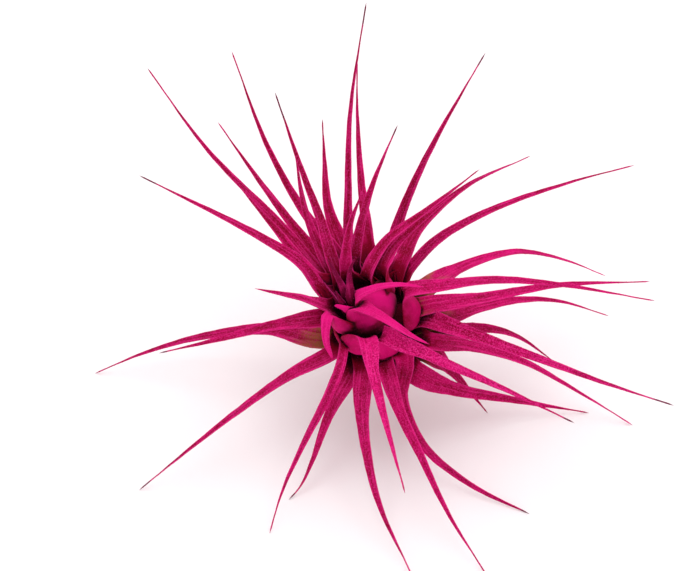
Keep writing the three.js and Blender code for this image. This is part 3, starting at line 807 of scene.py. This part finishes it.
def line_object(name, position, **kept):
    """An object of joined points that keep the directions and sizes of a leaf."""
    mesh = bpy.data.meshes.new(name)
    edges = [(place, place + 1) for place in range(len(position) - 1)]
    mesh.from_pydata([Vector(point) for point in position], edges, [])
    for key, values in kept.items():
        flat = values.ndim == 1
        attribute = mesh.attributes.new(key, "FLOAT" if flat else "FLOAT_VECTOR", "POINT")
        attribute.data.foreach_set("value" if flat else "vector", values.astype(np.float32).ravel())
    return on_scene(name, mesh)


def tree_named(name, build):
    """A node tree, built once and used again after that."""
    return bpy.data.node_groups.get(name) or build()


def leaf_piece(leaf):
    """The piece that stands for a leaf."""
    return bpy.data.objects[f"{leaf.name}_with_scales"]


def grow_leaf(leaf, seed, material):
    """Grow one leaf and hang it on the plant."""
    look = OWN_LOOKS.get(leaf.name, COMMON_LOOKS[leaf.name.split("_")[0]])
    line = middle_line(leaf, look, seed, bpy.context.scene.sky_plant_leaves)
    piece = line_object(f"{leaf.name}_with_scales", **line)
    put_on(piece, tree_named("Leaf skin", leaf_skin_tree), leaf_surface=material)
    to_plain_mesh(piece)
    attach(piece, "root")
    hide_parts(leaf.name)


def strew_scales(leaf, seed):
    """Strew the scales over one leaf."""
    scales = bpy.context.scene.sky_plant_scales
    piece = leaf_piece(leaf)
    put_on(
        piece, tree_named("Leaf scales", leaf_scales_tree), radius=scales.radius,
        height=scales.height, scales_per_square_metre=scales.per_square_mm / MM ** 2,
        seed=scales.seed + seed, leaf_surface=piece.data.materials[0])
    to_plain_mesh(piece)


# ---- How open each place of a leaf is, which says how much spray and light get there ----


def even_directions(count):
    """Directions spread evenly over a sphere."""
    places = np.arange(count) + 0.5
    height = 1 - 2 * places / count
    turn = places * math.pi * (3 - math.sqrt(5))
    ring = np.sqrt(1 - height ** 2)
    return np.stack((ring * np.cos(turn), ring * np.sin(turn), height), axis=1)


def whole_plant():
    """Search tree of all the leaves."""
    corners, faces = [], []
    for leaf in LEAVES:
        mesh = leaf_piece(leaf).data
        first = len(corners)
        corners.extend(vertex.co.copy() for vertex in mesh.vertices)
        faces.extend([first + corner for corner in face.vertices] for face in mesh.polygons)
    return BVHTree.FromPolygons(corners, faces)


def store_openness(piece, plant, directions):
    """Keep on each point of a leaf the share of its surroundings that it can see."""
    mesh = piece.data
    openness = np.zeros(len(mesh.vertices), dtype=np.float32)
    for vertex in mesh.vertices:
        start = vertex.co + vertex.normal * OPEN_LIFT
        seen = 0
        for direction in directions:
            ray = direction if direction.dot(vertex.normal) > 0 else -direction
            seen += plant.ray_cast(start, ray, OPEN_DISTANCE)[0] is None
        openness[vertex.index] = seen / len(directions)
    mesh.attributes.new("open", "FLOAT", "POINT").data.foreach_set("value", openness)


# ---- Surfaces ----

# Fineness of the patterns that follow a leaf: across it and along it, for each metre, and from
# leaf to leaf
STREAK_FINENESS = (3200.0, 110.0, 3.7)
DRIFT_FINENESS = (500.0, 130.0, 1.9)

# Fineness of the patterns that are alike in every direction, for each metre
GRAIN_FINENESS = 3800.0
MOTTLE_FINENESS = 420.0

# Middle value of a noise pattern
NOISE_MIDDLE = 0.5

# How far each of these takes the pink to crimson
MOTTLE_DEPTH = 1.1
CHANNEL_SHADE_DEPTH = 1.1
MARGIN_SHADE_DEPTH = 0.75
PIT_DEPTH = 0.65

# How bright the painted highlight on the blade edges is, on light leaves and for each step of depth
EDGE_HIGHLIGHT = 0.1
EDGE_HIGHLIGHT_DEEP = 0.5

# How far drift and streaks shift the border of a bare place or of a dry tip
DRIFT_SWING = 1.4
DRIFT_ON_BARE = 0.7
STREAKS_ON_BARE = 1.3
DRIFT_ON_DRY = 0.5
DRYNESS = 0.85

# Roughness of the spray and its relief: what streaks, fine grains and scales each add
ROUGHNESS = 0.5
GRAINS_ROUGHEN = 0.3
SCALES_ROUGHEN = 0.08
STREAK_RELIEF = 0.5
GRAIN_RELIEF = 0.15
SCALE_RELIEF = 0.75

# Painted shadow deep in the head: what little is left of the colour there, on sprayed leaf and on bare
# leaf
SPRAYED_SHADOW = (0.035, 0.0015, 0.006, 1.0)
BARE_SHADOW = (0.035, 0.012, 0.005, 1.0)
SHADOW_ON_BARE = 0.7

# Ranges of the soft steps: where one starts, where it ends, and the values that it goes between
RECESS_SHADE_OPENNESS = (0.62, 0.12)
HOLLOW_FACE = (0.1, -0.5)
SHEATH_ZONE = (0.02, -0.12)
BLADE_ZONE = (-0.2, 0.02)
BLADE_EDGE = (0.9, 0.99)
STREAKY_GRAIN = (0.0, 0.5, 0.35, 1.5)
PALE_STREAKS = (0.52, 0.72)
PALE_STREAK_GRAIN = (0.0, 0.3, 0.04, 0.22)
PITS = (0.5, 0.36)
PALE_GRAINS = (0.52, 0.66)
PALE_SCALES = (0.3, 0.7, 0.15, 0.75)
BARE_PLACE = (0.35, 1.05, 0.0, 0.9)
SPRAY_ON_BARE = (0.45, 0.7, 0.0, 0.7)
STAIN_ON_BARE = (0.45, 0.8, 0.05, 0.5)
DRY_PLACE = (0.35, 0.7)

# Bark: coarse lumps and fine grain, for each metre, and where the spray and the dust lie on them
BARK_LUMPS = 900.0
BARK_GRAIN = 4200.0
SPRAY_ON_BARK = (0.55, 0.7)
DUST_ON_BARK = (0.5, 0.75, 0.0, 0.5)
BARK_ROUGHNESS = (0.2, 0.8, 0.7, 0.95)


def sprayed_group():
    """Shader group of the spray: how pink, crimson, bare or dry each place of a leaf is."""
    tree = bpy.data.node_groups.new("Sprayed leaf", "ShaderNodeTree")
    sockets(tree, "INPUT", (
        ("Pink", "Color"), ("Crimson", "Color"), ("Pale", "Color"),
        ("Olive", "Color"), ("Dry", "Color"), ("Specks", "Float", 0.5)))
    sockets(tree, "OUTPUT", (
        ("Colour", "Color"), ("Roughness", "Float"), ("Height", "Float")))
    desk = NodeDesk(tree)
    given = desk.place("NodeGroupInput").outputs

    def attribute(name, output="Fac"):
        return desk.place("ShaderNodeAttribute", attribute_name=name).outputs[output]

    place = attribute("leaf_place", "Vector")
    across, outward, zone = desk.parts(attribute("leaf_side", "Vector"))
    bare_root, dry_tip, deep = desk.parts(attribute("leaf_look", "Vector"))
    speck = attribute("speck")
    grain = attribute("grain")
    # Thinner spray and painted shade where other leaves close a place in
    recess_shade_and_thin_spray = desk.remap(attribute("open"), *RECESS_SHADE_OPENNESS)
    solid = desk.place("ShaderNodeTexCoord").outputs["Object"]
    across_squared = desk.times(across, across)

    # Streaks run the length of the leaf: fine across it and long along it
    streaks = desk.noise(desk.vector("MULTIPLY", place, STREAK_FINENESS), scale=1.0, detail=3.0)
    drift = desk.noise(desk.vector("MULTIPLY", place, DRIFT_FINENESS), scale=1.0, detail=2.0)
    fine = desk.noise(solid, GRAIN_FINENESS, detail=2.0, rough=0.6)
    mottle = desk.noise(solid, MOTTLE_FINENESS, detail=3.0, rough=0.55)

    # Smooth domes have hardly any streaks, and scaly blades have them all
    streaked = desk.times(desk.minus(NOISE_MIDDLE, streaks), desk.remap(grain, *STREAKY_GRAIN))
    # Painted shade: the hollow face of a leaf is deeper along its middle, where its channel lies in
    # shade
    channel_shade = desk.times(desk.remap(outward, *HOLLOW_FACE), desk.minus(1.0, across_squared))
    # A sheath is round: painted shade where it curves away towards its margins, where the spray is
    # thinner too
    margin_shade_and_thin_spray = desk.times(desk.remap(zone, *SHEATH_ZONE), across_squared)
    pits = desk.times(desk.remap(fine, *PITS), grain, PIT_DEPTH)
    shade = desk.plus(
        deep, desk.times(desk.minus(mottle, NOISE_MIDDLE), MOTTLE_DEPTH), streaked,
        desk.times(channel_shade, deep, CHANNEL_SHADE_DEPTH), recess_shade_and_thin_spray, desk.times(margin_shade_and_thin_spray, MARGIN_SHADE_DEPTH))
    shade = desk.maths("ADD", shade, pits, use_clamp=True)
    colour = desk.blend(shade, given["Pink"], given["Crimson"])
    # Painted shadow: the most closed-in places go nearly black
    colour = desk.blend(desk.times(recess_shade_and_thin_spray, recess_shade_and_thin_spray), colour, SPRAYED_SHADOW)

    # Pale scales gather on the streaks and in grains, and the edges of the blades get a painted
    # highlight
    on_streaks = desk.times(
        desk.remap(streaks, *PALE_STREAKS), desk.remap(grain, *PALE_STREAK_GRAIN))
    edge_highlight = desk.times(
        desk.remap(desk.maths("ABSOLUTE", across), *BLADE_EDGE),
        desk.plus(EDGE_HIGHLIGHT, desk.times(deep, EDGE_HIGHLIGHT_DEEP)), desk.remap(zone, *BLADE_ZONE))
    in_grains = desk.maths(
        "MAXIMUM", desk.times(desk.remap(fine, *PALE_GRAINS), grain, given["Specks"]),
        desk.times(speck, desk.remap(fine, *PALE_SCALES)))
    for share in (on_streaks, edge_highlight, in_grains):
        colour = desk.blend(share, colour, given["Pale"])

    # Spray thins out towards a bare place in streaks, and a little of it reaches everywhere
    wander = desk.times(desk.minus(drift, NOISE_MIDDLE), DRIFT_SWING)
    thinned = desk.plus(
        bare_root, desk.times(wander, DRIFT_ON_BARE),
        desk.times(desk.minus(streaks, NOISE_MIDDLE), STREAKS_ON_BARE))
    missed = desk.times(
        desk.remap(thinned, *BARE_PLACE), desk.minus(1.0, desk.remap(fine, *SPRAY_ON_BARE)))
    bare = desk.blend(desk.remap(streaks, *STAIN_ON_BARE), given["Olive"], given["Crimson"])
    # Painted shadow on bare leaf in the closed-in places too
    bare = desk.blend(desk.times(recess_shade_and_thin_spray, SHADOW_ON_BARE), bare, BARE_SHADOW)
    colour = desk.blend(missed, colour, bare)
    dry = desk.remap(desk.plus(dry_tip, desk.times(wander, DRIFT_ON_DRY)), *DRY_PLACE)
    colour = desk.blend(desk.times(dry, DRYNESS), colour, given["Dry"])

    roughness = desk.plus(
        ROUGHNESS, desk.times(fine, GRAINS_ROUGHEN), desk.times(grain, SCALES_ROUGHEN))
    height = desk.plus(
        desk.times(streaks, STREAK_RELIEF),
        desk.times(fine, desk.plus(GRAIN_RELIEF, desk.times(grain, SCALE_RELIEF))))
    desk.place("NodeGroupOutput", {0: colour, 1: roughness, 2: height})
    desk.lay_out()
    return tree


def surface_desk(name):
    """A new material, and the desk for its nodes."""
    material = bpy.data.materials.new(name)
    material.use_nodes = True
    material.node_tree.nodes.clear()
    return material, NodeDesk(material.node_tree)


def leaf_surface(name, pink, crimson, specks, sheen, bump):
    """Material of one kind of sprayed leaf."""
    colours = bpy.context.scene.sky_plant_colours
    material, desk = surface_desk(name)
    spray = desk.place("ShaderNodeGroup", node_tree=tree_named("Sprayed leaf", sprayed_group))
    for key, value in (("Pink", pink), ("Crimson", crimson), ("Pale", colours.pale),
                       ("Olive", colours.olive), ("Dry", colours.dry), ("Specks", specks)):
        desk.feed(spray.inputs[key], value)
    relief = desk.first(
        "ShaderNodeBump", {"Height": spray.outputs["Height"], "Strength": bump, "Distance": 0.12 * MM})
    shader = desk.first("ShaderNodeBsdfPrincipled", {
        "Base Color": spray.outputs["Colour"], "Roughness": spray.outputs["Roughness"],
        "Normal": relief, "Specular IOR Level": 0.03, "Sheen Weight": sheen, "Sheen Roughness": 0.5})
    desk.place("ShaderNodeOutputMaterial", {"Surface": shader})
    desk.lay_out(step=260)
    return material


def bark_surface():
    """Material of the stem: rough bark with the scars of old leaves."""
    colours = bpy.context.scene.sky_plant_colours
    material, desk = surface_desk("stem bark")
    solid = desk.place("ShaderNodeTexCoord").outputs["Object"]
    coarse = desk.noise(solid, BARK_LUMPS, detail=6.0)
    fine = desk.noise(solid, BARK_GRAIN, detail=3.0)
    sprayed = desk.blend(desk.remap(coarse, *SPRAY_ON_BARK), colours.bark, colours.crimson)
    colour = desk.blend(desk.remap(fine, *DUST_ON_BARK), sprayed, colours.dry)
    height = desk.plus(coarse, desk.times(fine, 0.5))
    relief = desk.first("ShaderNodeBump", {"Height": height, "Strength": 0.7, "Distance": 0.15 * MM})
    shader = desk.first("ShaderNodeBsdfPrincipled", {
        "Base Color": colour, "Roughness": desk.remap(fine, *BARK_ROUGHNESS), "Normal": relief,
        "Specular IOR Level": 0.3})
    desk.place("ShaderNodeOutputMaterial", {"Surface": shader})
    desk.lay_out(step=260)
    return material


def floor_surface():
    """Material of the pale floor, tinted pink as painted light thrown back from the plant"""
    material, desk = surface_desk("pale floor")
    shader = desk.first("ShaderNodeBsdfPrincipled", {
        "Base Color": bpy.context.scene.sky_plant_colours.floor, "Roughness": 0.9,
        "Specular IOR Level": 0.1})
    desk.place("ShaderNodeOutputMaterial", {"Surface": shader})
    desk.lay_out(step=260)
    return material


# ---- Operators ----


class LeafGrower:
    """What the operators of the leaves share: the leaves whose names start with one word."""

    kind = ""
    slot_name = "leaf"
    # Specks, sheen and relief of the spray, and its colours where it is light and deep
    finish = (0.6, 0.0, 0.8)
    spray = ("pink", "crimson")

    def execute(self, _context):
        colours = bpy.context.scene.sky_plant_colours
        light, deep = (getattr(colours, colour) for colour in self.spray)
        specks, sheen, bump = self.finish
        material = leaf_surface(f"sprayed {self.kind} leaf", light, deep, specks, sheen, bump)
        for seed, leaf in enumerate(LEAVES, start=1):
            if leaf.name.startswith(self.kind):
                grow_leaf(leaf, seed, material)
        return {"FINISHED"}


class SKYPLANT_OT_heart_leaves(LeafGrower, bpy.types.Operator):
    """Grow the dark young leaves in the middle of the head"""

    bl_idname = "sky_plant.heart_leaves"
    bl_label = "Heart leaves"
    kind = "heart"
    slot_name = "heart_leaf"
    finish = (0.2, 0.0, 0.4)
    spray = ("thick", "heart")


class SKYPLANT_OT_crown_leaves(LeafGrower, bpy.types.Operator):
    """Grow the short leaves with domed sheaths that bend over the head"""

    bl_idname = "sky_plant.crown_leaves"
    bl_label = "Crown leaves"
    kind = "crown"
    slot_name = "crown_leaf"
    finish = (0.35, 0.02, 0.35)
    spray = ("thick", "crimson")


class SKYPLANT_OT_upper_leaves(LeafGrower, bpy.types.Operator):
    """Grow the fan of leaves that points up and back"""

    bl_idname = "sky_plant.upper_leaves"
    bl_label = "Upper leaves"
    kind = "upper"


class SKYPLANT_OT_right_leaves(LeafGrower, bpy.types.Operator):
    """Grow the leaves to the right"""

    bl_idname = "sky_plant.right_leaves"
    bl_label = "Right leaves"
    kind = "right"


class SKYPLANT_OT_lower_leaves(LeafGrower, bpy.types.Operator):
    """Grow the leaves at the front that reach down to the surface"""

    bl_idname = "sky_plant.lower_leaves"
    bl_label = "Lower leaves"
    kind = "lower"


class SKYPLANT_OT_left_leaves(LeafGrower, bpy.types.Operator):
    """Grow the leaves to the left"""

    bl_idname = "sky_plant.left_leaves"
    bl_label = "Left leaves"
    kind = "left"


class SKYPLANT_OT_back_leaves(LeafGrower, bpy.types.Operator):
    """Grow the old leaves behind the head that prop it up"""

    bl_idname = "sky_plant.back_leaves"
    bl_label = "Back leaves"
    kind = "back"


class SKYPLANT_OT_spray_and_shade_reach(bpy.types.Operator):
    """Work out how much of the spray and of the light gets to each place of the leaves, for thinner
    spray and painted shade in the closed-in places
    """

    bl_idname = "sky_plant.spray_reach"
    bl_label = "Spray and shade reach"

    def execute(self, _context):
        plant = whole_plant()
        directions = [Vector(direction) for direction in even_directions(OPEN_DIRECTIONS)]
        for leaf in LEAVES:
            store_openness(leaf_piece(leaf), plant, directions)
        return {"FINISHED"}


class SKYPLANT_OT_scales(bpy.types.Operator):
    """Strew the fine scales over all the leaves"""

    bl_idname = "sky_plant.scales"
    bl_label = "Scales"

    def execute(self, _context):
        for seed, leaf in enumerate(LEAVES, start=1):
            strew_scales(leaf, seed)
        return {"FINISHED"}


class SKYPLANT_OT_stem(bpy.types.Operator):
    """Make the short woody stem with the scars of its old leaves"""

    bl_idname = "sky_plant.stem"
    bl_label = "Stem"

    def execute(self, _context):
        side = unit(np.cross(HEAD_AXIS, (1.0, 0.0, 0.0)))
        other = np.cross(HEAD_AXIS, side)
        points = []
        for height in np.linspace(STEM_BOTTOM, STEM_TOP, STEM_RINGS):
            radius = np.interp(height, (STEM_BOTTOM, STEM_TOP), (STEM_RADIUS, STEM_TOP_RADIUS))
            radius += SCAR_DEPTH * (math.sin(height * SCAR_WAVE) - 1) - BARK_INSET
            radius -= END_ROUNDING * max(0.0, 1 - (height - STEM_BOTTOM) / END_HEIGHT)
            for turn in np.linspace(0, 2 * math.pi, STEM_SIDES, endpoint=False):
                cosine, sine = math.cos(turn), math.sin(turn)
                place = Vector((cosine * BARK_ROUND, sine * BARK_ROUND, height * BARK_ALONG))
                reach = radius + sum(depth * noise.noise(place * fineness)
                                     for fineness, depth in BARK_BUMPS)
                points.append(height * HEAD_AXIS + reach * (cosine * side + sine * other))
        bottom, top = len(points), len(points) + 1
        points += [STEM_BOTTOM * HEAD_AXIS, STEM_TOP * HEAD_AXIS]
        turns = [(turn, (turn + 1) % STEM_SIDES) for turn in range(STEM_SIDES)]
        last = (STEM_RINGS - 1) * STEM_SIDES
        faces = [(ring + turn, ring + after, ring + STEM_SIDES + after, ring + STEM_SIDES + turn)
                 for ring in range(0, last, STEM_SIDES) for turn, after in turns]
        for turn, after in turns:
            faces += [(bottom, after, turn), (top, last + turn, last + after)]
        mesh = bpy.data.meshes.new("bark_stem")
        mesh.from_pydata([Vector(point) for point in to_world(np.array(points))], [], faces)
        mesh.polygons.foreach_set("use_smooth", [True] * len(mesh.polygons))
        mesh.materials.append(bark_surface())
        piece = on_scene("bark_stem", mesh)
        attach(piece, "root")
        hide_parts("stem")
        return {"FINISHED"}


class SKYPLANT_OT_stage(bpy.types.Operator):
    """Set up the pale floor, the soft light and the camera"""

    bl_idname = "sky_plant.stage"
    bl_label = "Stage"

    def execute(self, _context):
        scene = bpy.context.scene
        lights = scene.sky_plant_lights
        mesh = bpy.data.meshes.new("floor")
        corners = ((-1, -1), (1, -1), (1, 1), (-1, 1))
        mesh.from_pydata([(x * FLOOR_HALF, y * FLOOR_HALF, 0) for x, y in corners], [], [(0, 1, 2, 3)])
        mesh.materials.append(floor_surface())
        on_scene("floor", mesh)

        lamp = bpy.data.lights.new("overhead", "AREA")
        lamp.energy = lights.overhead
        lamp.size = lights.overhead_size
        on_scene("overhead", lamp).location = LAMP_PLACE

        world = bpy.data.worlds.new("surround")
        world.use_nodes = True
        background = world.node_tree.nodes["Background"].inputs
        background["Color"].default_value = (1.0, 1.0, 1.0, 1.0)
        background["Strength"].default_value = lights.surround
        scene.world = world
        scene.view_settings.view_transform = "Standard"

        lens = bpy.data.cameras.new("camera")
        lens.lens = CAMERA_LENS
        lens.sensor_width = CAMERA_SENSOR
        lens.clip_start, lens.clip_end = CAMERA_CLIP
        camera = on_scene("camera", lens)
        camera.location = CAMERA_PLACE
        camera.rotation_euler = (SLANT, 0.0, 0.0)
        scene.camera = camera
        return {"FINISHED"}


STEPS = (
    SKYPLANT_OT_heart_leaves,
    SKYPLANT_OT_crown_leaves,
    SKYPLANT_OT_upper_leaves,
    SKYPLANT_OT_right_leaves,
    SKYPLANT_OT_lower_leaves,
    SKYPLANT_OT_left_leaves,
    SKYPLANT_OT_back_leaves,
    SKYPLANT_OT_spray_and_shade_reach,
    SKYPLANT_OT_scales,
    SKYPLANT_OT_stem,
    SKYPLANT_OT_stage,
)
GROUPS = {
    "sky_plant_leaves": SkyPlantLeafSizes,
    "sky_plant_scales": SkyPlantScaleSizes,
    "sky_plant_colours": SkyPlantColours,
    "sky_plant_lights": SkyPlantLights,
}


class VIEW3D_PT_sky_plant(bpy.types.Panel):
    """Lists the steps that make the plant, with their sizes and colours"""

    bl_idname = "VIEW3D_PT_sky_plant"
    bl_label = "Sky Plant"
    bl_space_type = "VIEW_3D"
    bl_region_type = "UI"
    bl_category = "Sky Plant"

    def draw(self, context):
        for step in STEPS:
            self.layout.operator(step.bl_idname)
        for name, group in GROUPS.items():
            box = self.layout.box()
            for key in group.__annotations__:
                box.prop(getattr(context.scene, name), key)


def register():
    """Register the sizes, the steps and the panel."""
    for group in GROUPS.values():
        bpy.utils.register_class(group)
    for name, group in GROUPS.items():
        setattr(bpy.types.Scene, name, PointerProperty(type=group))
    for step in STEPS:
        bpy.utils.register_class(step)
    bpy.utils.register_class(VIEW3D_PT_sky_plant)


def unregister():
    """Take everything off again."""
    bpy.utils.unregister_class(VIEW3D_PT_sky_plant)
    for step in reversed(STEPS):
        bpy.utils.unregister_class(step)
    for name, group in GROUPS.items():
        delattr(bpy.types.Scene, name)
        bpy.utils.unregister_class(group)


def main():
    """Make the whole plant."""
    register()
    for step in STEPS:
        family, name = step.bl_idname.split(".")
        getattr(getattr(bpy.ops, family), name)()


if __name__ == "__main__":
    main()
